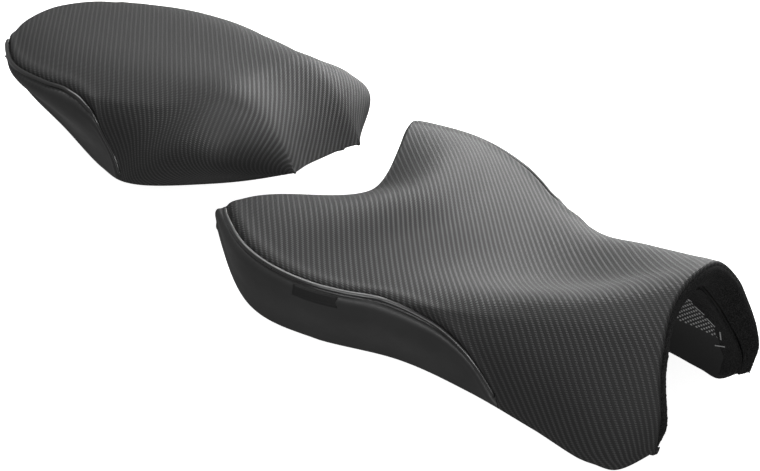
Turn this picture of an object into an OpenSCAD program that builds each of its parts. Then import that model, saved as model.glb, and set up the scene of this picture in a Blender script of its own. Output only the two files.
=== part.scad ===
// Motorcycle seat set: a rider seat with an arched saddle nose and a swallow-tail
// rear edge, and a separate passenger seat whose prow nests in that tail.
// Millimetres. +Z is up, the noses point along -Y and X = 0 is the symmetry plane.
// Z = 0 is the surface that the set stands on.

/* [Rider seat] */
// Length along the crown datum, tail to nose
rider_l = 440; // [425:5:455]
// Width across the shoulders
rider_w = 376; // [360:2:392]
// Height of the crown at the nose
rider_h = 168; // [160:1:176]

/* [Passenger seat] */
// Length from tail to prow
passenger_l = 405; // [395:5:415]
// Width across the shoulders
passenger_w = 282; // [270:2:294]
// Height of the crown at the hump
passenger_h = 140; // [134:1:146]
// Free gap between the prow and the notch in the rider seat
seat_gap = 56; // [48:1:80]

/* [Layers] */
// Thickness of the vinyl cover
cover_t = 1.2; // [1:0.1:1.5]
// Thickness of the moulded base pans
pan_t = 3; // [2.5:0.1:3.5]
// Diameter of the welt piping
piping_d = 4.6; // [4:0.1:5]

/* [Hardware] */
// Bore of the rider seat's fixing holes
bolt_hole = 6.5; // [6.2:0.1:7]
// Spacing of the two holes in each bracket
bolt_spacing = 26; // [24:1:28]
// Rod diameter of the latch striker
striker_rod = 8; // [7:0.5:9]
// Inside width of the striker loop
striker_gap = 22; // [20:1:26]
// Diameter of the rubber bumpers
bumper_d = 22; // [18:1:24]

/* [Hidden] */

// Each seat is a loft. A station is one row: distance from the tail, crown height,
// shoulder half width, shoulder height, roll of the crown at the shoulder, lean of
// the side below it, edge half width, edge height and belly of the side. Distances,
// widths and heights are percent of the seat's length, half width and height; roll and
// lean are degrees; the belly is percent of the side's depth.
rider_stations = [
    [0, 45, 83, 48, 22, 77, 85, 33, 5],
    [14, 61, 100, 46, 18, 74, 96, 8, 5],
    [30, 54, 98, 44, 10, 70, 84, 0, 5],
    [45, 48, 80, 44, 14, 63, 66, 0, 5],
    [61, 50, 61, 48, 27, 56, 60, 0, 5],
    [77, 65, 52, 60, 46, 55, 60, 0, 5],
    [91, 85, 45, 70, 50, 58, 61, 1, 5],
    [96, 92, 43, 72, 53, 58, 58, 4, 5],
    [100, 97, 41, 72, 55, 58, 52, 17, 5]];
passenger_stations = [
    [0, 69, 67, 64, 10, 61, 53, 37, 5],
    [12, 76, 91, 65, 20, 63, 63, 28, 5],
    [30, 84, 100, 70, 28, 64, 68, 16, 5],
    [47, 91, 94, 75, 38, 62, 75, 6, 5],
    [64, 98, 79, 84, 40, 54, 92, 20, 8],
    [81, 100, 54, 98, 22, 14, 75, 37, 68],
    [93, 83, 39, 83, 4, 8, 56, 51, 98],
    [100, 61, 37, 61, 4, 20, 38, 60, 5]];

// Forward sweep of the tail and nose edges at five places across half a section:
// crown, mid top, shoulder, low side and bottom edge. crown_round eases the turn at
// the crown, as a share of the half section.
sweep_at = [0, 0.25, 0.5, 0.85, 1];
crown_round = 0.05;
rider_tail_sweep = [64, 30, 0, 0, 0];
rider_nose_sweep = [-15, -13, 0, 24, 25];
passenger_tail_sweep = [-17, -6, 11, 0, -15];
passenger_nose_sweep = [-4, -3, 0, 0, 0];

// Depth of the foam over each base pan: crown, shoulder inward, shoulder down and
// edge inward, one row per station.
rider_foam_depth = [
    [40, 16, 28, 7], [46, 16, 28, 7], [44, 16, 30, 7], [42, 16, 30, 7],
    [38, 16, 28, 7], [32, 16, 26, 8], [26, 16, 24, 13],
    [25, 16, 24, 15], [24, 16, 24, 17]];
passenger_foam_depth = [
    [36, 26, 26, 7], [42, 32, 28, 7], [44, 34, 30, 7], [46, 28, 36, 7],
    [48, 20, 40, 8], [46, 18, 42, 9], [26, 16, 30, 9], [5, 12, 5, 10]];

// The seam between top and side covers leaves the shoulder and drops to the edge.
rider_seam = [[0, 0.5], [20, 0.5], [38, 0.5], [45, 0.5], [52, 0.55], [57, 0.62], [61, 0.72],
    [65, 0.87], [69, 1]];
passenger_seam = [[0, 0.5], [16, 0.5], [30, 0.5], [38, 0.5], [44, 0.54], [48, 0.61], [51, 0.74],
    [55, 0.88], [60, 1]];

foam_gap = 2.2;
foam_end_gap = 3.4;
part_gap = 0.3;
end_room = 2.4;
felt_t = 1.6;
rib_depth = 8;
staple = [12, 1.4, 1.2];
// Staples of the nose trim: place along, place across and turn.
rider_staple_places = [[0.91, 0.3, -70], [0.915, 0.5, 14], [0.94, 0.56, 35], [0.958, 0.62, 41], [0.968, 0.7, 82],
    [0.955, 0.78, -26]];
steel_t = 3;
rider_y = 26;
passenger_y = rider_y - rider_tail_sweep[0] + seat_gap + passenger_l;

// Front tongue of the rider seat, its centre and the height of its top face.
tongue_y = -292;
tongue_z = 41.5;
tongue_l = 80;
// Fixing brackets of the rider seat: centre, size, height of the tab and of the flange.
bracket_x = 80;
bracket_y = -84;
bracket_w = 30;
bracket_l = 50;
bracket_z = 12;
bracket_top = 49;
// Rubber bumpers.
bumper_h = 10;
// Hooks of the passenger seat: centre of the low tab.
hook_x = 32;
hook_y = 68;
hook_z = 74.5;
hook_w = 24;
hook_l = 30;
hook_rise = 12;
hook_eye = 8;
// Latch striker: place of its plate and length of its legs.
striker_y = 385;
striker_z = 55.5;
striker_leg = 16;

// Cubic through the values v at the places k; v may hold numbers or rows.
function place(k, x, i = 0) = i >= len(k) - 2 || x < k[i + 1] ? i : place(k, x, i + 1);
function step(k, v, i) = (v[i + 1] - v[i]) / (k[i + 1] - k[i]);
function inner_slope(k, v, i) =
    (step(k, v, i - 1) * (k[i + 1] - k[i]) + step(k, v, i) * (k[i] - k[i - 1])) / (k[i + 1] - k[i - 1]);
function slope(k, v, i) =
    i == 0 ? 1.5 * step(k, v, 0) - 0.5 * inner_slope(k, v, 1)
    : i == len(k) - 1 ? 1.5 * step(k, v, i - 1) - 0.5 * inner_slope(k, v, i - 1)
    : inner_slope(k, v, i);
function through(k, v, x) =
    let (i = place(k, x), h = k[i + 1] - k[i], u = (x - k[i]) / h)
    (1 + 2 * u) * (1 - u) ^ 2 * v[i] + u * (1 - u) ^ 2 * h * slope(k, v, i)
    + u * u * (3 - 2 * u) * v[i + 1] + u * u * (u - 1) * h * slope(k, v, i + 1);
function bezier(a, b, c, d, u) =
    (1 - u) ^ 3 * a + 3 * u * (1 - u) ^ 2 * b + 3 * u * u * (1 - u) * c + u ^ 3 * d;
function mix(a, b, u) = a + (b - a) * u;
function flat(lists) = [for (l = lists) each l];

// A surface is [distances, station rows in mm, tail sweep, nose sweep, length, y].
function surface_of(stations, l, w, h, tail, nose, y) = [
    [for (s = stations) s[0] / 100],
    [for (s = stations)
        [h * s[1] / 100, w / 2 * s[2] / 100, h * s[3] / 100, s[4], s[5], w / 2 * s[6] / 100, h * s[7] / 100,
            s[8] / 100]],
    tail, nose, l, y];
// The surface moved inward: by depth rows, or by one even depth.
function sunk(s, depths, ends) = [
    s[0], [for (i = [0:len(s[1]) - 1]) let (d = depths[i]) s[1][i] - [d[0], d[1], d[2], 0, 0, d[3], 0, 0]],
    [for (v = s[2]) v + ends], [for (v = s[3]) v - ends], s[4], s[5]];
function even(s, d, ends) = sunk(s, [for (r = s[1]) [d, d, d, d]], ends);

// Point of a section: v runs from -1 (left edge) over 0 (crown) to 1 (right edge).
function section(r, v) =
    let (crown = r[0], x = r[1], z = r[2], xe = r[5], ze = r[6], reach = norm([xe - x, ze - z]), a = abs(v))
    a <= 0.5
        ? [bezier(0, 0.45 * x, x - 0.35 * x * cos(r[3]), x, 2 * a),
            bezier(crown, crown, z + 0.35 * x * sin(r[3]), z, 2 * a)]
        : [bezier(x, x + 0.38 * reach * cos(r[4]), xe + r[7] * reach, xe, 2 * a - 1),
            bezier(z, z - 0.38 * reach * sin(r[4]), ze + (0.33 + 0.35 * r[7]) * reach, ze, 2 * a - 1)];
function sweep(values, v) =
    through(sweep_at, values, min(1, norm([v, crown_round]) - crown_round * (1 - abs(v))));
function row_points(s, t, vs) =
    let (r = through(s[0], s[1], t))
    [for (v = vs)
        let (p = section(r, v), tail = sweep(s[2], v), nose = sweep(s[3], v))
        [sign(v) * p[0], s[5] - tail - t * (s[4] + nose - tail), max(0, p[1])]];
function spaced(a, b, n) = [for (i = [0:n]) mix(a, b, i / n)];
function grid(s, ts, vs) = [for (t = ts) row_points(s, t, vs)];
function seam_v(seam, t) =
    min(1, through([for (p = seam) p[0] / 100], [for (p = seam) p[1]], min(t, seam[len(seam) - 1][0] / 100)));

rider = surface_of(rider_stations, rider_l, rider_w, rider_h, rider_tail_sweep, rider_nose_sweep, rider_y);
rider_pan = sunk(rider, rider_foam_depth, 8);
passenger = surface_of(passenger_stations, passenger_l, passenger_w, passenger_h,
    passenger_tail_sweep, passenger_nose_sweep, passenger_y);
passenger_pan = sunk(passenger, passenger_foam_depth, 8);

// Rows along a seat, closer together where it bends, and columns across it.
row_ts = [0, 3, 7, 12, 17, 22, 27, 32, 37, 42, 47, 52, 57, 62, 67, 72, 77, 82, 86, 90, 94, 97, 100] / 100;
top_us = [-20, -19, -17.5, -15, -12, -8, -4, 0, 4, 8, 12, 15, 17.5, 19, 20] / 20;
body_vs = [-20, -18.5, -17, -15, -13.5, -12, -11, -10, -9, -7.5, -5, -2.5, 0, 2.5, 5, 7.5, 9, 10, 11, 12,
    13.5, 15, 17, 18.5, 20] / 20;
side_us = [0, 1, 2, 3, 4] / 5;
// Columns across a section that follow the covers' columns, the seam being at v = e.
function cover_columns(e) =
    concat([for (u = side_us) mix(-1, -e, u)], e * top_us, [for (u = side_us) mix(1, e, 0.8 - u)]);

// Closed solid between two grids of the same size, a outside and b inside.
module skin(a, b) {
    n = len(a);
    m = len(a[0]);
    o = n * m;
    function at(i, j) = i * m + j;
    polyhedron(concat(flat(a), flat(b)), concat(
        [for (i = [0:n - 2], j = [0:m - 2]) each [
            [at(i, j), at(i + 1, j + 1), at(i + 1, j)], [at(i, j), at(i, j + 1), at(i + 1, j + 1)],
            [o + at(i, j), o + at(i + 1, j), o + at(i + 1, j + 1)],
            [o + at(i, j), o + at(i + 1, j + 1), o + at(i, j + 1)]]],
        [for (j = [0:m - 2]) each [
            [at(0, j + 1), at(0, j), o + at(0, j)], [at(0, j + 1), o + at(0, j), o + at(0, j + 1)],
            [at(n - 1, j), at(n - 1, j + 1), o + at(n - 1, j + 1)],
            [at(n - 1, j), o + at(n - 1, j + 1), o + at(n - 1, j)]]],
        [for (i = [0:n - 2]) each [
            [at(i, 0), at(i + 1, 0), o + at(i + 1, 0)], [at(i, 0), o + at(i + 1, 0), o + at(i, 0)],
            [at(i + 1, m - 1), at(i, m - 1), o + at(i, m - 1)],
            [at(i + 1, m - 1), o + at(i, m - 1), o + at(i + 1, m - 1)]]]), convexity = 10);
}
// Layer of a seat between an outer and an inner surface.
module layer(outer, inner, ts, vs) {
    skin(grid(outer, ts, vs), grid(inner, ts, vs));
}
// Top cover: spans from seam to seam.
module top_skin(s, seam) {
    inside = even(s, cover_t, cover_t);
    skin([for (t = row_ts) row_points(s, t, seam_v(seam, t) * top_us)],
        [for (t = row_ts) row_points(inside, t, seam_v(seam, t) * top_us)]);
}
// Side cover: from the seam down to the bottom edge, side = -1 or 1.
module side_skin(s, seam, side) {
    last = seam[len(seam) - 1][0] / 100;
    ts = [for (t = row_ts) if (t < last - 0.02) t];
    ends = [for (t = ts) seam_v(seam, t)];
    inside = even(s, cover_t, cover_t);
    vs = [for (e = ends) side < 0 ? spaced(-1, -e, 5) : spaced(e, 1, 5)];
    skin([for (i = [0:len(ts) - 1]) row_points(s, ts[i], vs[i])],
        [for (i = [0:len(ts) - 1]) row_points(inside, ts[i], vs[i])]);
}
// Wall that closes an end of the foam at t = 0 or 1, under the cover's turned edge.
module end_wall(s, pan, t, thick, vs) {
    out = even(s, cover_t + part_gap, 0);
    inn = [pan[0], pan[1], [for (v = pan[2]) v - end_room], [for (v = pan[3]) v + end_room], pan[4], pan[5]];
    a = row_points(out, t, vs);
    b = row_points(inn, t, t < 0.5 ? body_vs : vs);
    push = t < 0.5 ? [0, -thick, 0] : [0, thick, 0];
    near = [for (u = [0, 0.5, 1]) [for (j = [0:len(a) - 1]) mix(a[j], b[j], u)]];
    far = [for (r = near) [for (p = r) p + push]];
    if (t < 0.5) skin(far, near);
    else skin(near, far);
}
// Round cord along a list of points, with sides facets.
module cord(path, d, sides = 6) {
    n = len(path) - 1;
    function along(i) = let (v = path[min(i + 1, n)] - path[max(i - 1, 0)]) v / norm(v);
    function across(i) = let (v = cross(along(i), [0, 0, 1])) v / norm(v);
    rings = [for (i = [0:n]) let (w = across(i), h = cross(w, along(i)))
        [for (k = [0:sides - 1]) path[i] + d / 2 * (cos(k * 360 / sides) * w + sin(k * 360 / sides) * h)]];
    polyhedron(flat(rings), concat(
        [[for (k = [sides - 1:-1:0]) k], [for (k = [0:sides - 1]) n * sides + k]],
        [for (i = [0:n - 1], k = [0:sides - 1]) let (q = (k + 1) % sides) each [
            [i * sides + k, (i + 1) * sides + q, (i + 1) * sides + k],
            [i * sides + k, i * sides + q, (i + 1) * sides + q]]]), convexity = 6);
}
// Welt piping along a seam, sitting on the cover.
module piping(s, seam, side) {
    last = seam[len(seam) - 1][0] / 100;
    out = even(s, -0.6, -0.6);
    cord([for (t = row_ts) if (t < last - 0.04) row_points(out, t, [side * seam_v(seam, t)])[0]], piping_d);
}
// Ribs under a pan: bands across it at the places ts.
module pan_ribs(pan, ts, depth) {
    for (t = ts)
        layer(even(pan, pan_t, 0), even(pan, pan_t + depth, 0), [t, t + 0.008], 0.46 * spaced(-1, 1, 8));
}
// Foam between the covers and a pan.
module foam(s, pan, seam) {
    inset = cover_t + foam_gap;
    outer = even(s, inset, cover_t + foam_end_gap);
    over_pan = -part_gap * [1, 3, 1, 3];
    skin([for (t = row_ts) row_points(outer, t, cover_columns(min(0.97, seam_v(seam, t))))],
        grid(sunk(pan, [for (r = pan[1]) over_pan], 0), row_ts, body_vs));
}
// Staples pressed into a surface: crowns of size staple, at [t, v, turn].
module staples(s, places) {
    for (p = places) {
        q = row_points(s, p[0], [p[1] - 0.01, p[1], p[1] + 0.01]);
        tilt = atan2(q[2][2] - q[0][2], q[2][0] - q[0][0]);
        translate(q[1]) rotate([0, -tilt, 0]) rotate([0, 0, p[2]]) cube(staple, center = true);
    }
}
// Steel plate with round corners, lying flat, its top at z = 0.
module plate(w, l, t, r = 4) {
    translate([0, 0, -t]) linear_extrude(t) hull()
        for (x = [-1, 1], y = [-1, 1]) translate([x * (w / 2 - r), y * (l / 2 - r)]) circle(r, $fn = 32);
}
// Rivet or screw that rises from a head at z = 0 to the height l.
module fastener(d, head, l) {
    cylinder(h = l, d = d, $fn = 32);
    translate([0, 0, -2]) cylinder(h = 2, d = head, $fn = 48);
}

// Rider seat
module rider_base_pan() {
    color("dimgray") layer(rider_pan, even(rider_pan, pan_t, 0), row_ts, body_vs);
}
module rider_pan_ribs() {
    color("dimgray") pan_ribs(rider_pan, [0.08, 0.33, 0.5, 0.7], rib_depth);
}
module rider_foam() {
    color("wheat") foam(rider, rider_pan, rider_seam);
}
module rider_top_cover() {
    color("#4a4a4a") top_skin(rider, rider_seam);
}
module rider_side_cover(side) {
    color("#2b2b2b") side_skin(rider, rider_seam, side);
}
module rider_tail_panel() {
    color("#2b2b2b") end_wall(rider, rider_pan, 0, cover_t, cover_columns(0.5));
}
module rider_piping(side) {
    color("black") piping(rider, rider_seam, side);
}
module rider_nose_trim() {
    color("#141414") end_wall(rider, rider_pan, 1, felt_t, top_us);
}
module rider_trim_lining() {
    gap = pan_t + part_gap;
    color("#141414") layer(even(rider_pan, gap, 0), even(rider_pan, gap + felt_t, 0),
        [0.86, 0.9, 0.94, 0.97, 1], [for (v = body_vs) if (abs(v) < 0.9) v]);
}
module rider_staples() {
    arch = even(rider_pan, pan_t + part_gap + felt_t, 0);
    color("silver") for (k = [-1, 1])
        staples(arch, [for (p = rider_staple_places) [p[0], k * p[1], 90 + k * p[2]]]);
}
module rider_front_tongue() {
    color("silver") translate([0, tongue_y, tongue_z]) plate(36, tongue_l, steel_t, 6);
}
module rider_tongue_rivets() {
    color("gray") for (x = [-10, 10])
        translate([x, tongue_y + tongue_l / 2 - 12, tongue_z - steel_t]) fastener(5, 10, steel_t + 6.6);
}
module rider_bracket(side) {
    color("silver") translate([side * bracket_x, bracket_y, 0]) {
        difference() {
            translate([0, 0, bracket_z + steel_t / 2]) cube([bracket_w, bracket_l, steel_t], center = true);
            for (k = [-1, 1]) translate([0, k * bolt_spacing / 2, bracket_z - 1])
                cylinder(h = steel_t + 2, d = bolt_hole, $fn = 64);
        }
        web_h = bracket_top - bracket_z;
        translate([-side * (bracket_w - steel_t) / 2, 0, bracket_z + web_h / 2])
            cube([steel_t, bracket_l, web_h], center = true);
        translate([0, 0, bracket_top - steel_t / 2]) cube([bracket_w, bracket_l, steel_t], center = true);
    }
}
module rider_bracket_rivets(side) {
    color("gray") for (k = [-1, 1])
        translate([side * bracket_x, bracket_y + k * bolt_spacing / 2, bracket_top - steel_t])
            fastener(5, 10, steel_t + 7 + k * 0.8);
}
module bumper(x, y, low, top) {
    color("#1c1c1c") translate([x, y, low]) {
        cylinder(h = bumper_h, d1 = bumper_d - 3, d2 = bumper_d, $fn = 64);
        translate([0, 0, bumper_h]) cylinder(h = top - low - bumper_h, d = bumper_d - 6, $fn = 64);
    }
}
module rider_bumper_front(side) {
    bumper(side * 35, -185, 2, 40.4);
}
module rider_bumper_rear(side) {
    bumper(side * 110, -60, 2, 58.2);
}
module rider_label_tab() {
    color("#1a1a1a")
        layer(even(rider, -1, 0), even(rider, -0.1, 0), spaced(0.285, 0.375, 4), spaced(-0.62, -0.54, 2));
}

// Passenger seat
module passenger_base_pan() {
    color("dimgray") layer(passenger_pan, even(passenger_pan, pan_t, 0), row_ts, body_vs);
}
module passenger_pan_ribs() {
    color("dimgray") pan_ribs(passenger_pan, [0.22, 0.42, 0.7], rib_depth);
}
module passenger_foam() {
    color("wheat") foam(passenger, passenger_pan, passenger_seam);
}
module passenger_top_cover() {
    color("#4a4a4a") top_skin(passenger, passenger_seam);
}
module passenger_side_cover(side) {
    color("#2b2b2b") side_skin(passenger, passenger_seam, side);
}
module passenger_tail_panel() {
    color("#2b2b2b") end_wall(passenger, passenger_pan, 0, cover_t, cover_columns(0.5));
}
module passenger_piping(side) {
    color("black") piping(passenger, passenger_seam, side);
}
module passenger_tongue(side) {
    web_y = 10;
    plate_l = 50;
    color("silver") translate([side * hook_x, hook_y, hook_z]) {
        translate([0, web_y + plate_l / 2, hook_rise]) cube([hook_w, plate_l, steel_t], center = true);
        translate([0, web_y + steel_t / 2, hook_rise / 2])
            cube([hook_w, steel_t, hook_rise + steel_t], center = true);
        cube([hook_w, hook_l, steel_t], center = true);
        translate([-hook_w / 2, -hook_l / 2, 0]) rotate([0, 90, 0])
            cylinder(h = hook_w, d = hook_eye, $fn = 48);
    }
}
module passenger_tongue_rivets() {
    color("gray") for (side = [-1, 1], y = [26, 42])
        translate([side * hook_x, hook_y + y, hook_z + hook_rise - steel_t / 2])
            fastener(5, 10, steel_t + 8.3);
}
module passenger_striker() {
    r = (striker_gap + striker_rod) / 2;
    color("silver") translate([0, striker_y, striker_z]) {
        for (k = [-1, 1])
            translate([k * r, 0, -striker_leg]) cylinder(h = striker_leg, d = striker_rod, $fn = 48);
        translate([0, 0, -striker_leg]) rotate([90, 0, 0]) rotate_extrude(angle = -180, $fn = 96)
            translate([r, 0]) circle(d = striker_rod, $fn = 48);
    }
}
module passenger_striker_plate() {
    color("gray") translate([0, striker_y, striker_z + steel_t]) plate(52, 36, steel_t);
}
module passenger_striker_screws() {
    color("silver") for (x = [-20, 20], k = [-1, 1])
        translate([x, striker_y + k * 12, striker_z]) fastener(5, 9, 8.9 - k * 1.2);
}
module passenger_bumper(side) {
    bumper(side * 55, 200, 0, 14);
}
module passenger_bumper_posts() {
    color("dimgray") for (side = [-1, 1]) translate([side * 55, 200, 14]) cylinder(h = 71.5, d = 20, $fn = 64);
}
module passenger_staples() {
    inside = even(passenger_pan, pan_t + 0.2, 0);
    color("silver") staples(inside, [for (t = [0.1:0.1:0.8], v = [-0.93, 0.93]) [t, v, 90]]);
}

rider_base_pan();
rider_pan_ribs();
rider_foam();
rider_top_cover();
rider_side_cover(1);  // rider_side_cover_left
rider_side_cover(-1);  // rider_side_cover_right
rider_tail_panel();
rider_piping(1);  // rider_piping_left
rider_piping(-1);  // rider_piping_right
rider_nose_trim();
rider_trim_lining();
rider_staples();
rider_front_tongue();
rider_tongue_rivets();
rider_bracket(1);  // rider_bracket_left
rider_bracket(-1);  // rider_bracket_right
rider_bracket_rivets(1);  // rider_bracket_rivets_left
rider_bracket_rivets(-1);  // rider_bracket_rivets_right
rider_bumper_front(1);  // rider_bumper_front_left
rider_bumper_front(-1);  // rider_bumper_front_right
rider_bumper_rear(1);  // rider_bumper_rear_left
rider_bumper_rear(-1);  // rider_bumper_rear_right
rider_label_tab();
passenger_base_pan();
passenger_pan_ribs();
passenger_foam();
passenger_top_cover();
passenger_side_cover(1);  // passenger_side_cover_left
passenger_side_cover(-1);  // passenger_side_cover_right
passenger_tail_panel();
passenger_piping(1);  // passenger_piping_left
passenger_piping(-1);  // passenger_piping_right
passenger_tongue(1);  // passenger_tongue_left
passenger_tongue(-1);  // passenger_tongue_right
passenger_tongue_rivets();
passenger_striker();
passenger_striker_plate();
passenger_striker_screws();
passenger_bumper(1);  // passenger_bumper_left
passenger_bumper(-1);  // passenger_bumper_right
passenger_bumper_posts();
passenger_staples();
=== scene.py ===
"""A two-piece motorcycle seat: an arched-nose rider seat and a wedge passenger seat in carbon-look vinyl."""
import math

import bpy
import numpy as np
from mathutils import Matrix, Vector


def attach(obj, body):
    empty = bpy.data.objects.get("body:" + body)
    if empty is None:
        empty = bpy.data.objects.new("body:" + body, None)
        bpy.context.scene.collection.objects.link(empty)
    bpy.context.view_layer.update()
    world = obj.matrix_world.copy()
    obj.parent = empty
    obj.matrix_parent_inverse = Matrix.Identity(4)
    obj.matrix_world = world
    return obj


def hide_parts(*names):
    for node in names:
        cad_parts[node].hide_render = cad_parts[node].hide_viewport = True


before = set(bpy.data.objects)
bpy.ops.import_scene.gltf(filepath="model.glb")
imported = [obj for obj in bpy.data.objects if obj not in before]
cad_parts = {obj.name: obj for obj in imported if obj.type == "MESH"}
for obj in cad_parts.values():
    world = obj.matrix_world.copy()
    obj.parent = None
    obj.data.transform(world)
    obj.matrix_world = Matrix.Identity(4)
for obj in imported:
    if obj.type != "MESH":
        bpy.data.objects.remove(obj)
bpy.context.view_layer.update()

MM = 0.001

# ---------------------------------------------------------------- the seats' shape
# A station is one row: distance from the tail, crown height, shoulder half width, shoulder height, roll of
# the crown at the shoulder, lean of the side below it, edge half width, edge height and belly of the side.
# Distances, widths and heights are percent of the seat's length, half width and height; roll and lean are
# degrees; the belly is percent of the side's depth.
RIDER_STATIONS = [
    (0, 45, 83, 48, 22, 77, 85, 33, 5),
    (14, 61, 100, 46, 18, 74, 96, 8, 5),
    (30, 54, 98, 44, 10, 70, 84, 0, 5),
    (45, 48, 80, 44, 14, 63, 66, 0, 5),
    (61, 50, 61, 48, 27, 56, 60, 0, 5),
    (77, 65, 52, 60, 46, 55, 60, 0, 5),
    (91, 85, 45, 70, 50, 58, 61, 1, 5),
    (96, 92, 43, 72, 53, 58, 58, 4, 5),
    (100, 97, 41, 72, 55, 58, 52, 17, 5),
]
PASSENGER_STATIONS = [
    (0, 69, 67, 64, 10, 61, 53, 37, 5),
    (12, 76, 91, 65, 20, 63, 63, 28, 5),
    (30, 84, 100, 70, 28, 64, 68, 16, 5),
    (47, 91, 94, 75, 38, 62, 75, 6, 5),
    (64, 98, 79, 84, 40, 54, 92, 20, 8),
    (81, 100, 54, 98, 22, 14, 75, 37, 68),
    (93, 83, 39, 83, 4, 8, 56, 51, 98),
    (100, 61, 37, 61, 4, 20, 38, 60, 5),
]
# Forward sweep of the tail and nose edges in mm: crown, mid top, shoulder, low side and bottom edge.
SWEEP_AT = (0, 0.25, 0.5, 0.85, 1)
CROWN_ROUND = 0.05
RIDER_SWEEPS = ((64, 30, 0, 0, 0), (-15, -13, 0, 24, 25))
PASSENGER_SWEEPS = ((-17, -6, 11, 0, -15), (-4, -3, 0, 0, 0))
# Depth of the foam over each base pan in mm: crown, shoulder inward, shoulder down and edge inward.
RIDER_FOAM = [
    (40, 16, 28, 7), (46, 16, 28, 7), (44, 16, 30, 7), (42, 16, 30, 7),
    (38, 16, 28, 7), (32, 16, 26, 8), (26, 16, 24, 13),
    (25, 16, 24, 15), (24, 16, 24, 17),
]
PASSENGER_FOAM = [
    (36, 26, 26, 7), (42, 32, 28, 7), (44, 34, 30, 7), (46, 28, 36, 7),
    (48, 20, 40, 8), (46, 18, 42, 9), (26, 16, 30, 9), (5, 12, 5, 10),
]
# The seam between top and side covers: percent of the length, place across half a section.
RIDER_SEAM = [
    (0, 0.5), (20, 0.5), (38, 0.5), (45, 0.5), (52, 0.55), (57, 0.62), (61, 0.72), (65, 0.87), (69, 1),
]
PASSENGER_SEAM = [
    (0, 0.5), (16, 0.5), (30, 0.5), (38, 0.5), (44, 0.54), (48, 0.61), (51, 0.74), (55, 0.88), (60, 1),
]
# Length, width and height of each seat, the rider seat's place and the gap behind it, in mm.
RIDER_SIZE = (440, 376, 168)
PASSENGER_SIZE = (405, 282, 140)
RIDER_Y = 26
SEAT_GAP = 56
# Thickness of a pan and of a cover, and radius of a cover's rolled rim, in mm.
PAN_T = 3.0
COVER_T = 1.1
RIM_R = 3.0


def through(places, values, x):
    """Smooth cubic through the values at the places, for an array x."""
    k = np.asarray(places, float)
    v = np.asarray(values, float)
    x = np.asarray(x, float)
    h = np.diff(k)
    wide = h.reshape((-1,) + (1,) * (v.ndim - 1))
    step = np.diff(v, axis=0) / wide
    slope = np.empty_like(v)
    slope[1:-1] = (step[:-1] * wide[1:] + step[1:] * wide[:-1]) / (wide[1:] + wide[:-1])
    slope[0] = 1.5 * step[0] - 0.5 * slope[1]
    slope[-1] = 1.5 * step[-1] - 0.5 * slope[-2]
    i = np.clip(np.searchsorted(k, x, side="right") - 1, 0, len(h) - 1)
    u = (x - k[i]) / h[i]
    if v.ndim > 1:
        u = u[..., None]
        gap = h[i][..., None]
    else:
        gap = h[i]
    return ((1 + 2 * u) * (1 - u) ** 2 * v[i] + u * (1 - u) ** 2 * gap * slope[i]
            + u * u * (3 - 2 * u) * v[i + 1] + u * u * (u - 1) * gap * slope[i + 1])


def bezier(a, b, c, d, u):
    return (1 - u) ** 3 * a + 3 * u * (1 - u) ** 2 * b + 3 * u * u * (1 - u) * c + u ** 3 * d


def smooth(x):
    x = np.clip(x, 0, 1)
    return x * x * (3 - 2 * x)


class Seat:
    """Loft of a seat's skin. point() takes arrays: t runs from tail to nose, v from the left edge -1 over the
    crown 0 to the right edge 1. inset moves it inward and ends pulls in the tail and the nose, both in mm."""

    def __init__(self, stations, sweeps, foam, seam, size, y):
        length, width, height = size
        rows = np.array(stations, float)
        half = width / 2
        self.at = rows[:, 0] / 100
        scale = [height, half, height, 100, 100, half, height, 1]
        self.rows = rows[:, 1:] * (np.array(scale) / 100)
        crown, inward, down, edge = np.array(foam, float).T
        zero = 0 * crown
        self.pan_rows = self.rows - np.stack([crown, inward, down, zero, zero, edge, zero, zero], 1)
        self.sweeps = sweeps
        self.seam_table = np.array(seam, float)
        self.last = self.seam_table[-1, 0] / 100
        self.length = length
        self.y = y

    def sweep(self, values, v):
        eased = np.hypot(v, CROWN_ROUND) - CROWN_ROUND * (1 - np.abs(v))
        return through(SWEEP_AT, values, np.minimum(1, eased))

    def seam(self, t):
        k = self.seam_table
        return np.minimum(1, through(k[:, 0] / 100, k[:, 1], np.minimum(t, self.last)))

    def point(self, t, v, inset=0.0, ends=0.0, pan=False):
        t, v, inset, ends = np.broadcast_arrays(*(np.asarray(q, float) for q in (t, v, inset, ends)))
        row = through(self.at, self.pan_rows if pan else self.rows, t)
        crown, x, z, roll, lean, xe, ze, belly = np.moveaxis(row, -1, 0)
        crown, x, z, xe = crown - inset, x - inset, z - inset, xe - inset
        roll, lean = np.radians(roll), np.radians(lean)
        reach = np.hypot(xe - x, ze - z)
        a = np.abs(v)
        u = np.clip(2 * a, 0, 1)
        w = np.clip(2 * a - 1, 0, 1)
        px = np.where(a <= 0.5, bezier(0, 0.45 * x, x - 0.35 * x * np.cos(roll), x, u),
                      bezier(x, x + 0.38 * reach * np.cos(lean), xe + belly * reach, xe, w))
        pz = np.where(a <= 0.5, bezier(crown, crown, z + 0.35 * x * np.sin(roll), z, u),
                      bezier(z, z - 0.38 * reach * np.sin(lean), ze + (0.33 + 0.35 * belly) * reach, ze, w))
        tail = self.sweep(self.sweeps[0], v) + ends
        nose = self.sweep(self.sweeps[1], v) - ends
        py = self.y - tail - t * (self.length + nose - tail)
        return np.stack([np.sign(v) * px, py, np.maximum(pz, 0)], -1) * MM


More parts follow.
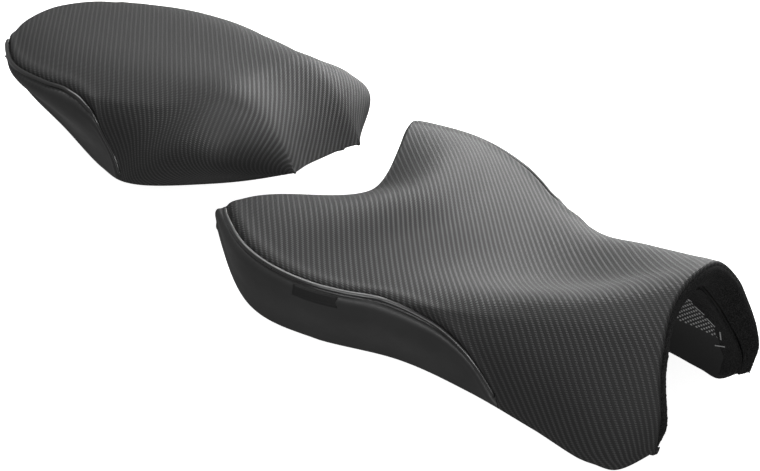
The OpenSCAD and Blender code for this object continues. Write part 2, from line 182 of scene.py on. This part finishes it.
PASSENGER_Y = RIDER_Y - RIDER_SWEEPS[0][0] + SEAT_GAP + PASSENGER_SIZE[0]
rider = Seat(RIDER_STATIONS, RIDER_SWEEPS, RIDER_FOAM, RIDER_SEAM, RIDER_SIZE, RIDER_Y)
passenger = Seat(PASSENGER_STATIONS, PASSENGER_SWEEPS, PASSENGER_FOAM, PASSENGER_SEAM, PASSENGER_SIZE,
                 PASSENGER_Y)


# ---------------------------------------------------------------- node helpers for materials
class Nodes:
    """Short way to write a material's node tree."""

    def __init__(self, name):
        self.material = bpy.data.materials.new(name)
        self.material.use_nodes = True
        self.tree = self.material.node_tree
        self.tree.nodes.clear()
        self.out = self.tree.nodes.new("ShaderNodeOutputMaterial")
        self.shader = self.tree.nodes.new("ShaderNodeBsdfPrincipled")
        self.tree.links.new(self.shader.outputs[0], self.out.inputs[0])

    def put(self, socket, value):
        if hasattr(value, "is_output"):
            self.tree.links.new(value, socket)
        else:
            socket.default_value = value

    def math(self, op, *values):
        node = self.tree.nodes.new("ShaderNodeMath")
        node.operation = op
        for i, value in enumerate(values):
            self.put(node.inputs[i], value)
        return node.outputs[0]

    def coords(self, kind="Object"):
        return self.tree.nodes.new("ShaderNodeTexCoord").outputs[kind]

    def split(self, vector):
        node = self.tree.nodes.new("ShaderNodeSeparateXYZ")
        self.put(node.inputs[0], vector)
        return node.outputs

    def noise(self, vector, scale, detail=2.0, rough=0.5):
        node = self.tree.nodes.new("ShaderNodeTexNoise")
        self.put(node.inputs["Vector"], vector)
        node.inputs["Scale"].default_value = scale
        node.inputs["Detail"].default_value = detail
        node.inputs["Roughness"].default_value = rough
        return node.outputs["Fac"]

    def voronoi(self, vector, scale, feature):
        node = self.tree.nodes.new("ShaderNodeTexVoronoi")
        node.feature = feature
        self.put(node.inputs["Vector"], vector)
        node.inputs["Scale"].default_value = scale
        return node.outputs["Distance"]

    def ramp(self, factor, low, high, lo=0.0, hi=1.0):
        node = self.tree.nodes.new("ShaderNodeMapRange")
        self.put(node.inputs[0], factor)
        for i, value in enumerate((lo, hi, low, high)):
            node.inputs[i + 1].default_value = value
        return node.outputs[0]

    def mix(self, factor, a, b):
        node = self.tree.nodes.new("ShaderNodeMix")
        node.data_type = "RGBA"
        self.put(node.inputs[0], factor)
        self.put(node.inputs[6], a)
        self.put(node.inputs[7], b)
        return node.outputs[2]

    def bump(self, height, distance, strength=1.0, normal=None):
        node = self.tree.nodes.new("ShaderNodeBump")
        node.inputs["Strength"].default_value = strength
        node.inputs["Distance"].default_value = distance
        self.put(node.inputs["Height"], height)
        if normal is not None:
            self.put(node.inputs["Normal"], normal)
        return node.outputs[0]

    def finish(self, color, roughness, normal=None, **fixed):
        self.put(self.shader.inputs["Base Color"], color)
        self.put(self.shader.inputs["Roughness"], roughness)
        if normal is not None:
            self.put(self.shader.inputs["Normal"], normal)
        for name, value in fixed.items():
            self.shader.inputs[name.replace("_", " ")].default_value = value
        return self.material


def grey(value):
    return (value, value, value, 1)


TOW = 1.75 * MM


def carbon_vinyl():
    """Vinyl embossed as 2/2 twill carbon cloth. The map holds metres along the surface: X across, Y along."""
    n = Nodes("carbon_look_vinyl")
    x, y, _ = n.split(n.coords("UV"))
    u = n.math("DIVIDE", x, TOW)
    v = n.math("DIVIDE", y, TOW)
    column = n.math("FLOOR", u)
    row = n.math("FLOOR", v)
    across_warp = n.math("SUBTRACT", n.math("SUBTRACT", u, column), 0.5)
    across_weft = n.math("SUBTRACT", n.math("SUBTRACT", v, row), 0.5)
    phase = n.math("MULTIPLY", n.math("FRACT", n.math("DIVIDE", n.math("SUBTRACT", v, column), 4.0)), 4.0)
    warp_up = n.math("LESS_THAN", phase, 2.0)
    along_warp = n.math("SUBTRACT", phase, 1.0)
    weft_phase = n.math("FRACT", n.math("DIVIDE", n.math("SUBTRACT", row, u), 4.0))
    along_weft = n.math("SUBTRACT", n.math("MULTIPLY", weft_phase, 4.0), 2.0)

    def fall(distance, power, drop):
        """1 in the middle, less by drop at a distance of 1, and never under 0."""
        loss = n.math("MULTIPLY", n.math("POWER", n.math("ABSOLUTE", distance), power), drop)
        return n.math("MAXIMUM", n.math("SUBTRACT", 1.0, loss), 0.0)

    def crown(across, along):
        """Height of a tow: round across its width, falling at its two ends."""
        return n.math("MULTIPLY", fall(across, 2.0, 3.6), fall(along, 3.0, 0.75))

    warp = n.math("MULTIPLY", crown(across_warp, along_warp), warp_up)
    weft = n.math("MULTIPLY", crown(across_weft, along_weft), n.math("SUBTRACT", 1.0, warp_up))
    height = n.math("ADD", warp, n.math("MULTIPLY", weft, 0.35))
    place = n.coords()
    wear = n.noise(place, 9.0, 3.0)
    light = n.ramp(wear, 0.8, 1.0, 0.35, 0.7)
    # Painted light: the colour is lighter on the crowns of the warp tows and darker in the grooves and on the
    # weft, a painted highlight and painted shade from the weave's relief; the wear noise varies the tone at
    # random.
    painted_tow_highlight = n.math("ADD", n.math("MULTIPLY", warp, 0.75), n.math("MULTIPLY", weft, 0.12))
    wear_and_painted_weave_light = n.math("MULTIPLY", light, painted_tow_highlight)
    color = n.mix(wear_and_painted_weave_light, grey(0.014), grey(0.078))
    grain = n.bump(n.noise(place, 1400.0, 2.0), 0.00008, 0.35)
    weave = n.bump(height, 0.0004, 1.0, grain)
    roughness = n.ramp(warp, 0.66, 0.5, 0.0, 0.8)
    return n.finish(color, roughness, weave, Specular_IOR_Level=0.4)


def smooth_vinyl():
    n = Nodes("smooth_vinyl")
    place = n.coords()
    cells = n.voronoi(place, 900.0, "DISTANCE_TO_EDGE")
    creases = n.noise(place, 26.0, 3.0)
    # The colour is darker in the dips of the crease relief: painted shade in the creases.
    color = n.mix(n.ramp(creases, 0.0, 0.6, 0.4, 0.7), grey(0.026), grey(0.036))
    normal = n.bump(cells, 0.0002, 0.35, n.bump(creases, 0.0012, 0.25))
    return n.finish(color, n.ramp(n.noise(place, 90.0), 0.4, 0.52), normal, Specular_IOR_Level=0.5)


def gloss_piping():
    n = Nodes("welt_piping")
    place = n.coords()
    folds = n.noise(place, 130.0, 2.0)
    # The colour is darker in the dips of the fold relief: painted shade in the folds.
    color = n.mix(folds, grey(0.012), grey(0.022))
    return n.finish(color, n.ramp(n.noise(place, 400.0), 0.24, 0.36), n.bump(folds, 0.0006, 0.3),
                    Specular_IOR_Level=0.7, Coat_Weight=0.6, Coat_Roughness=0.22)


def felt():
    n = Nodes("felt_trim")
    place = n.coords()
    fuzz = n.noise(place, 900.0, 4.0, 0.7)
    clumps = n.noise(place, 150.0, 3.0)
    color = n.mix(n.ramp(fuzz, 0.0, 1.0, 0.45, 0.75), grey(0.006), grey(0.055))
    normal = n.bump(fuzz, 0.001, 0.9, n.bump(clumps, 0.002, 0.5))
    return n.finish(color, n.ramp(clumps, 0.85, 1.0), normal, Specular_IOR_Level=0.08, Sheen_Weight=0.04)


DOT_PITCH = 6.2 * MM


def pan_plastic():
    """Moulded plastic with raised pale dots in a diamond grid, kept to the panel in the middle of the pan."""
    n = Nodes("moulded_plastic")
    x, y, _ = n.split(n.coords("UV"))
    u = n.math("FRACT", n.math("DIVIDE", n.math("ADD", x, y), DOT_PITCH))
    v = n.math("FRACT", n.math("DIVIDE", n.math("SUBTRACT", x, y), DOT_PITCH))
    du = n.math("ABSOLUTE", n.math("SUBTRACT", u, 0.5))
    dv = n.math("ABSOLUTE", n.math("SUBTRACT", v, 0.5))
    dot = n.ramp(n.math("MAXIMUM", du, dv), 1.0, 0.0, 0.18, 0.3)
    place = n.coords()
    panel = n.ramp(n.math("ABSOLUTE", x), 1.0, 0.0, 0.121, 0.123)
    dot = n.math("MULTIPLY", dot, panel)
    color = n.mix(dot, grey(0.006), n.mix(n.noise(place, 300.0), grey(0.45), grey(0.7)))
    return n.finish(color, n.ramp(n.noise(place, 500.0), 0.4, 0.6), n.bump(dot, 0.0005, 0.8))


def plain(name, low, high, rough, metallic=0.0, scale=300.0, bump=0.00015):
    """A surface with fine grain: two tones, roughness between the pair rough, and a little relief."""
    n = Nodes(name)
    place = n.coords()
    grain = n.noise(place, scale, 3.0)
    color = n.mix(n.ramp(grain, 0.0, 1.0, 0.3, 0.7), grey(low), grey(high))
    roughness = n.ramp(n.noise(place, scale / 4), rough[0], rough[1])
    return n.finish(color, roughness, n.bump(grain, bump, 0.4), Metallic=metallic)


CARBON = carbon_vinyl()
SMOOTH = smooth_vinyl()
PIPING = gloss_piping()
FELT = felt()
PAN = pan_plastic()
STEEL = plain("bracket_steel", 0.42, 0.6, (0.28, 0.42), 1.0, 220.0)
ZINC = plain("zinc_fixings", 0.6, 0.8, (0.2, 0.32), 1.0, 500.0)
RUBBER = plain("bumper_rubber", 0.012, 0.024, (0.6, 0.75), scale=700.0)
MOULDED = plain("rib_plastic", 0.018, 0.03, (0.4, 0.55), scale=600.0)
LABEL = plain("woven_label", 0.004, 0.011, (0.6, 0.75), scale=1500.0, bump=0.0003)


# ---------------------------------------------------------------- mesh helpers
def add_piece(name, points, faces, material, body, uvs=None):
    """A mesh piece that rides on a body and takes a material slot."""
    mesh = bpy.data.meshes.new(name)
    mesh.from_pydata([tuple(p) for p in points], [], faces)
    if uvs is not None:
        layer = mesh.uv_layers.new(name="fabric")
        index = np.empty(len(mesh.loops), int)
        mesh.loops.foreach_get("vertex_index", index)
        layer.data.foreach_set("uv", np.asarray(uvs)[index].ravel())
    mesh.materials.append(material)
    mesh.polygons.foreach_set("use_smooth", [True] * len(mesh.polygons))
    mesh.update()
    piece = bpy.data.objects.new(name, mesh)
    bpy.context.scene.collection.objects.link(piece)
    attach(piece, body)
    return piece


def grid_faces(rows, cols):
    i, j = np.meshgrid(np.arange(rows - 1), np.arange(cols - 1), indexing="ij")
    a = (i * cols + j).ravel()
    return np.stack([a, a + cols, a + cols + 1, a + 1], 1).tolist()


def surface_map(points, row):
    """Metres along the surface for each grid point: X across in the section plane, Y along. Y is a point's
    own Y at the given row."""
    across = np.hypot(np.diff(points[..., 0], axis=1), np.diff(points[..., 2], axis=1))
    x = np.concatenate([np.zeros((len(points), 1)), np.cumsum(across, 1)], 1)
    middle = np.abs(points[row, :, 0]).argmin()
    x = x - x[:, middle:middle + 1] + points[:, middle:middle + 1, 0]
    along = np.hypot(np.diff(points[..., 1], axis=0), np.diff(points[..., 2], axis=0))
    y = -np.concatenate([np.zeros((1, points.shape[1])), np.cumsum(along, 0)], 0)
    y = y - y[row] + points[row, :, 1]
    return np.stack([x, y], -1)


def grid_piece(name, points, material, body, thick, map_row=0):
    """A sheet from a grid of points, with an even thickness inward, in metres."""
    rows, cols = points.shape[:2]
    uvs = surface_map(points, map_row).reshape(-1, 2)
    piece = add_piece(name, points.reshape(-1, 3), grid_faces(rows, cols), material, body, uvs)
    shell = piece.modifiers.new("thickness", "SOLIDIFY")
    shell.thickness = thick
    shell.offset = -1
    shell.use_even_offset = False
    return piece


def tube(path, radius, sides=12):
    """Points and faces of a round cord along a path, with closed ends."""
    path = np.asarray(path, float)
    along = np.gradient(path, axis=0)
    along /= np.linalg.norm(along, axis=1)[:, None]
    across = np.cross(along, (0, 0, 1.0))
    across /= np.linalg.norm(across, axis=1)[:, None]
    up = np.cross(across, along)
    turn = np.linspace(0, 2 * np.pi, sides, endpoint=False)
    ring = np.cos(turn)[None, :, None] * across[:, None] + np.sin(turn)[None, :, None] * up[:, None]
    points = (path[:, None] + radius * ring).reshape(-1, 3)
    faces = []
    for i in range(len(path) - 1):
        for k in range(sides):
            q = (k + 1) % sides
            faces.append((i * sides + k, i * sides + q, (i + 1) * sides + q, (i + 1) * sides + k))
    faces.append(tuple(range(sides - 1, -1, -1)))
    faces.append(tuple((len(path) - 1) * sides + k for k in range(sides)))
    return points, faces


# ---------------------------------------------------------------- covers
NOSE_TUCK = [(1.0, 0.5, 2.6), (1.0, 1.3, 2.8), (1.0, 1.8, 4.0), (1.0, 1.9, 8.0)]


def cover_rows(count, nose, last=1.0):
    """Rows of a cover: place along it, inset and pull of the ends. The tail rolls into a rim, and so does a
    nose of "rim"; one of "tuck" turns under, and one of "plain" just ends."""
    turn = np.radians((90, 75, 60, 45, 30, 15))
    rim = [(RIM_R * (1 - math.cos(a)), RIM_R * (1 - math.sin(a))) for a in turn]
    rows = [(0.0, inset, ends) for inset, ends in rim]
    rows += [(t, 0.0, RIM_R) for t in np.linspace(0, last, count)]
    if nose == "rim":
        rows += [(1.0, inset, ends) for inset, ends in reversed(rim)]
    if nose == "tuck":
        rows += NOSE_TUCK
    return np.array(rows)


# A hem's path from the edge, inward and up in mm, how far the edge rises for it, and the height of side that
# gives it full room.
HEM = np.array([(0.5, -1.1), (1.6, -1.6), (3.2, -1.6), (4.8, -1.0), (5.8, 1.0), (6.2, 5.0)])
HEM_LIFT = 1.6
HEM_ROOM = 25


def side_room(seat, t):
    """How much height the side has for a hem, from 0 to 1."""
    return smooth((seat.point(t, 0.5) - seat.point(t, 1.0))[..., 2] / (HEM_ROOM * MM))


def lift_edge(seat, t, points, v):
    """Raises a cover's bottom edge a little, so that the hem can turn under it."""
    points = points.copy()
    points[..., 2] += HEM_LIFT * MM * smooth((np.abs(v) - 0.93) / 0.07) * side_room(seat, t)[:, None]
    return points


def with_hem(seat, rows, edge, side):
    """Columns that turn a cover's bottom edge in under the foam, from the edge inward."""
    columns = []
    room = side_room(seat, rows[:, 0])
    for inward, rise in HEM:
        p = seat.point(rows[:, 0], side, rows[:, 1] + inward * (0.3 + 0.7 * room), rows[:, 2])
        p[:, 2] += (HEM_LIFT + rise) * room * MM
        columns.append(p)
    return columns


SEAM_DEPTH = 3.0
PUCKER_PITCH = 6.0


def seam_sink(distance, along, reach):
    """How far a cover dips towards its seam, in mm, with a puffed edge and small puckers from the thread."""
    dip = SEAM_DEPTH * np.exp(-(distance / reach) ** 2)
    puff = np.exp(-((distance - 12) / 6.0) ** 2)
    pucker = 0.3 * np.sin(along / PUCKER_PITCH * 2 * np.pi) * np.exp(-((distance - 6) / 4.0) ** 2)
    return dip + pucker - puff


def top_cover(seat, name, body, nodes, nose):
    """The cover from seam to seam. Where the seam has run out, it goes down to the hems."""
    rows = cover_rows(190, nose)
    t = rows[:, 0]
    seam = seat.seam(t)
    u = np.sin(np.linspace(-1, 1, 121) * np.pi / 2)
    v = seam[:, None] * u[None]
    base = seat.point(t[:, None], v, rows[:, 1:2], rows[:, 2:3])
    across = np.linalg.norm(np.diff(base, axis=1), axis=2)
    total = np.concatenate([np.zeros((len(t), 1)), np.cumsum(across, 1)], 1) / MM
    distance = np.minimum(total, total[:, -1:] - total)
    sewn = 1 - smooth((seam - 0.93) / 0.06)
    along = t[:, None] * seat.length + 0 * v
    sink = seam_sink(distance, along, 5.0) * sewn[:, None]
    points = seat.point(t[:, None], v, rows[:, 1:2] + sink, rows[:, 2:3])
    points = lift_edge(seat, t, points, v)
    left = with_hem(seat, rows, points[:, 0], -1.0)
    right = with_hem(seat, rows, points[:, -1], 1.0)
    for k in range(len(HEM)):
        tuck = seat.point(t, seam, rows[:, 1] + 2.4 + 3.0 * (k + 1) / len(HEM), rows[:, 2])
        keep = sewn[:, None]
        right[k] = keep * tuck + (1 - keep) * right[k]
        mirror = tuck * (-1, 1, 1)
        left[k] = keep * mirror + (1 - keep) * left[k]
    grid = np.concatenate([np.stack(left[::-1], 1), points, np.stack(right, 1)], 1)
    piece = grid_piece(name, grid, CARBON, body, COVER_T * MM, map_row=70)
    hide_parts(*nodes)
    return piece


def side_cover(seat, name, body, side, node):
    """The smooth panel from the seam down to the hem, on the side of side, -1 or 1."""
    rows = cover_rows(120, "plain", seat.last - 0.004)
    t = rows[:, 0]
    seam = seat.seam(t)
    k = np.linspace(0, 1, 34)
    v = side * (seam[:, None] + (1 - seam[:, None]) * k[None])
    base = seat.point(t[:, None], v, rows[:, 1:2], rows[:, 2:3])
    across = np.linalg.norm(np.diff(base, axis=1), axis=2)
    distance = np.concatenate([np.zeros((len(t), 1)), np.cumsum(across, 1)], 1) / MM
    along = t[:, None] * seat.length + 0 * v
    room = smooth(distance[:, -1:] / 14)
    sink = seam_sink(distance, along, 4.0) - 0.5 * room * np.sin(np.pi * k[None])
    points = seat.point(t[:, None], v, rows[:, 1:2] + sink, rows[:, 2:3])
    points = lift_edge(seat, t, points, v)
    hem = with_hem(seat, rows, points[:, -1], side)
    grid = np.concatenate([points, np.stack(hem, 1)], 1)
    if side < 0:
        grid = grid[:, ::-1]
    piece = grid_piece(name, grid, SMOOTH, body, COVER_T * MM, map_row=40)
    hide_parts(node)
    return piece


CORD_R = 2.3
FLANGE_R = 1.15


def seam_piping(seat, name, body, side, node):
    """Welt piping: a round cord and the folded flange beside it, on the seam. It ends just short of the
    tail's rim and of the place where the seam meets the edge."""
    t = np.linspace(0.002, seat.last - 0.022, 170)
    seam = seat.seam(t)
    start = 2.4 * (1 - smooth(t / 0.03))
    cord_path = seat.point(t, side * seam, 1.2, 0.8 + start)
    points, faces = tube(cord_path, CORD_R * MM)
    below = seat.point(t, side * np.minimum(1, seam + 0.02), 2.1, 0.8 + start)
    down = (below - cord_path) / np.linalg.norm(below - cord_path, axis=1)[:, None]
    more, more_faces = tube(cord_path + down * 3.3 * MM, FLANGE_R * MM, 8)
    faces += [tuple(i + len(points) for i in f) for f in more_faces]
    piece = add_piece(name, np.concatenate([points, more]), faces, PIPING, body)
    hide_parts(node)
    return piece


def end_wall(seat, name, body, t, material, node, bulge, thick, columns=121, fuzz=0.0):
    """Panel that closes the tail or nose between the cover's rim and the pan, bulging out by bulge mm."""
    v = np.sin(np.linspace(-1, 1, columns) * np.pi / 2)
    outer = seat.point(t, v, RIM_R - 0.4, 0.3)
    inner = seat.point(t, v, PAN_T * 0.4, 5.5, pan=True)
    k = np.linspace(0, 1, 17)
    points = outer[None] + (inner - outer)[None] * k[:, None, None]
    out = 1.0 if t < 0.5 else -1.0
    taper = 1 - 0.85 * smooth((np.abs(v) - 0.8) / 0.2)
    points[..., 1] += out * bulge * MM * np.sin(np.pi * k)[:, None] ** 0.6 * taper
    if fuzz:
        short = np.sin(v * 310)[None] * np.sin(k * 47)[:, None]
        long = np.sin(v * 173 + 1)[None] * np.cos(k * 31)[:, None]
        points[..., 1] += out * fuzz * MM * (short + long) * np.sin(np.pi * k)[:, None]
    if t < 0.5:
        points = points[::-1]
    piece = grid_piece(name, points, material, body, thick * MM)
    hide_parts(node)
    return piece


def base_pan(seat, name, body, node):
    """The moulded pan, with dots on its underside only. The passenger pan stops short of its thin nose."""
    t = np.linspace(0, 1, 110)[:, None]
    v = np.sin(np.linspace(-1, 1, 97) * np.pi / 2)[None]
    ends = 8 + 4 * smooth((t - 0.8) / 0.2) * (seat is passenger)
    upper = seat.point(t, v, 0, ends, pan=True)
    lower = seat.point(t, v, PAN_T, ends, pan=True)
    rows, cols = upper.shape[:2]
    count = rows * cols
    faces = grid_faces(rows, cols)
    faces += [tuple(count + i for i in f[::-1]) for f in faces]
    index = np.arange(count).reshape(rows, cols)
    ring = np.concatenate([index[0], index[1:, -1], index[-1, -2::-1], index[-2:0:-1, 0]]).tolist()
    for a, b in zip(ring, ring[1:] + ring[:1]):
        faces.append((a, b, count + b, count + a))
    uvs = np.concatenate([surface_map(upper, 50).reshape(-1, 2), surface_map(lower, 50).reshape(-1, 2)])
    points = np.concatenate([upper.reshape(-1, 3), lower.reshape(-1, 3)])
    piece = add_piece(name, points, faces, PAN, body, uvs)
    piece.data.materials.append(MOULDED)
    quads = (rows - 1) * (cols - 1)
    plain_faces = np.ones(len(faces), int)
    plain_faces[quads:2 * quads] = 0
    piece.data.polygons.foreach_set("material_index", plain_faces)
    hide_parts(node)
    return piece


def trim_lining(seat, name, body, node):
    """Felt turned under the arch, with a soft torn edge."""
    v = np.linspace(-0.97, 0.97, 97)
    k = np.linspace(0, 1, 15)
    low = smooth((np.abs(v) - 0.45) / 0.25)
    start = 0.907 + 0.043 * low + 0.003 * np.sin(v * 23) + 0.002 * np.sin(v * 61)
    t = start[None] + (1.0 - start)[None] * k[:, None]
    points = seat.point(t, v[None], PAN_T + 0.6 + 0.15 * np.sin(t * 300), 5.2, pan=True)
    piece = grid_piece(name, points, FELT, body, 1.4 * MM)
    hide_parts(node)
    return piece


TAB_ALONG = (0.285, 0.375)
TAB_ACROSS = (-0.62, -0.54)


def label_tab(seat, name, body, node):
    """Blank woven tab with a folded border, sewn on the side cover under the piping."""
    t = np.linspace(*TAB_ALONG, 41)[:, None]
    v = np.linspace(*TAB_ACROSS, 17)[None]
    from_ends = np.minimum(t - TAB_ALONG[0], TAB_ALONG[1] - t)
    from_sides = np.minimum(v - TAB_ACROSS[0], TAB_ACROSS[1] - v)
    edge = np.minimum(from_ends / 0.006, from_sides / 0.01)
    rise = 0.5 + 0.9 * smooth(edge) - 0.3 * smooth((edge - 1.2) / 0.6)
    points = seat.point(t, v, -rise - 0.8, 0)
    piece = grid_piece(name, points, LABEL, body, 1.0 * MM)
    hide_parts(node)
    return piece


RIDER, PASSENGER = "rider_seat", "passenger_seat"
top_cover(rider, "rider_cover", RIDER, ("rider_top_cover", "rider_foam"), "rim")
top_cover(passenger, "passenger_cover", PASSENGER, ("passenger_top_cover", "passenger_foam"), "tuck")
for side, word in ((1, "left"), (-1, "right")):
    side_cover(rider, f"rider_side_{word}", RIDER, side, f"rider_side_cover_{word}")
    side_cover(passenger, f"passenger_side_{word}", PASSENGER, side, f"passenger_side_cover_{word}")
    seam_piping(rider, f"rider_welt_{word}", RIDER, side, f"rider_piping_{word}")
    seam_piping(passenger, f"passenger_welt_{word}", PASSENGER, side, f"passenger_piping_{word}")
end_wall(rider, "rider_tail_vinyl", RIDER, 0.0, SMOOTH, "rider_tail_panel", 3.0, COVER_T)
end_wall(passenger, "passenger_tail_vinyl", PASSENGER, 0.0, SMOOTH, "passenger_tail_panel",
         2.0, COVER_T)
end_wall(rider, "rider_nose_felt", RIDER, 1.0, FELT, "rider_nose_trim", 6.0, 1.4, 241, 0.4)
trim_lining(rider, "rider_felt_lining", RIDER, "rider_trim_lining")
base_pan(rider, "rider_pan", RIDER, "rider_base_pan")
base_pan(passenger, "passenger_pan", PASSENGER, "passenger_base_pan")
label_tab(rider, "rider_label", RIDER, "rider_label_tab")

# A node that no piece replaces takes the finish of the first word found in its name.
FINISHES = (("rivet", ZINC), ("screw", ZINC), ("staple", ZINC), ("bumper_post", MOULDED), ("bumper", RUBBER),
            ("rib", MOULDED), ("", STEEL))
for name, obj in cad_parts.items():
    if obj.hide_render:
        continue
    material = next(m for word, m in FINISHES if word in name)
    for slot in obj.material_slots:
        slot.material = material


# ---------------------------------------------------------------- stage, light and camera
FLOOR_REACH = 6.0
FLOOR_Z = -0.0006


def floor():
    """Plain pale paper that lights up by itself, but neither lights the seats nor shows in their gloss."""
    corners = [(-1, -1), (1, -1), (1, 1), (-1, 1)]
    mesh = bpy.data.meshes.new("floor")
    mesh.from_pydata([(x * FLOOR_REACH, y * FLOOR_REACH, FLOOR_Z) for x, y in corners], [], [(0, 1, 2, 3)])
    n = Nodes("floor_paper")
    n.finish(grey(0.86), n.ramp(n.noise(n.coords(), 4.0), 0.8, 0.9),
             Emission_Color=grey(1.0), Emission_Strength=0.9)
    mesh.materials.append(n.material)
    obj = bpy.data.objects.new("floor", mesh)
    obj.visible_diffuse = False
    obj.visible_glossy = False
    bpy.context.scene.collection.objects.link(obj)


def softbox(name, place, aim, size, power):
    data = bpy.data.lights.new(name, "AREA")
    data.shape = "RECTANGLE"
    data.size, data.size_y = size
    data.energy = power
    obj = bpy.data.objects.new(name, data)
    obj.location = place
    obj.rotation_euler = (Vector(aim) - Vector(place)).to_track_quat("-Z", "Y").to_euler()
    bpy.context.scene.collection.objects.link(obj)


def studio():
    world = bpy.data.worlds.new("studio")
    world.use_nodes = True
    background = world.node_tree.nodes["Background"]
    background.inputs[0].default_value = (1, 1, 1, 1)
    background.inputs[1].default_value = 0.22
    bpy.context.scene.world = world
    bpy.context.scene.view_settings.view_transform = "Standard"
    softbox("rim", (1.8, 0.35, 0.6), (0, 0, 0.08), (1.6, 0.7), 36)
    softbox("top", (0.2, 0.5, 1.8), (0, 0, 0.05), (1.6, 1.6), 33)
    softbox("front", (-1.7, -0.7, 0.9), (0, 0, 0.05), (0.6, 0.5), 5)
    softbox("low", (-1.4, -1.1, 0.3), (0, -0.1, 0.05), (0.4, 0.3), 5)


CAMERA_AIM = (-0.0163, -0.0695, 0.0409)
CAMERA_AZIMUTH, CAMERA_ELEVATION, CAMERA_ROLL = -56.7, 30.3, 10.0
CAMERA_DISTANCE = 1.55
CAMERA_LENS = 72.7


def camera():
    a, e, r = (math.radians(q) for q in (CAMERA_AZIMUTH, CAMERA_ELEVATION, CAMERA_ROLL))
    back = Vector((math.sin(a) * math.cos(e), -math.cos(a) * math.cos(e), math.sin(e)))
    right = (-back).cross(Vector((0, 0, 1))).normalized()
    up = right.cross(-back)
    right, up = right * math.cos(r) + up * math.sin(r), up * math.cos(r) - right * math.sin(r)
    data = bpy.data.cameras.new("camera")
    data.lens = CAMERA_LENS
    obj = bpy.data.objects.new("camera", data)
    turn = Matrix((right, up, back)).transposed().to_4x4()
    obj.matrix_world = Matrix.Translation(Vector(CAMERA_AIM) + back * CAMERA_DISTANCE) @ turn
    bpy.context.scene.collection.objects.link(obj)
    bpy.context.scene.camera = obj


floor()
studio()
camera()
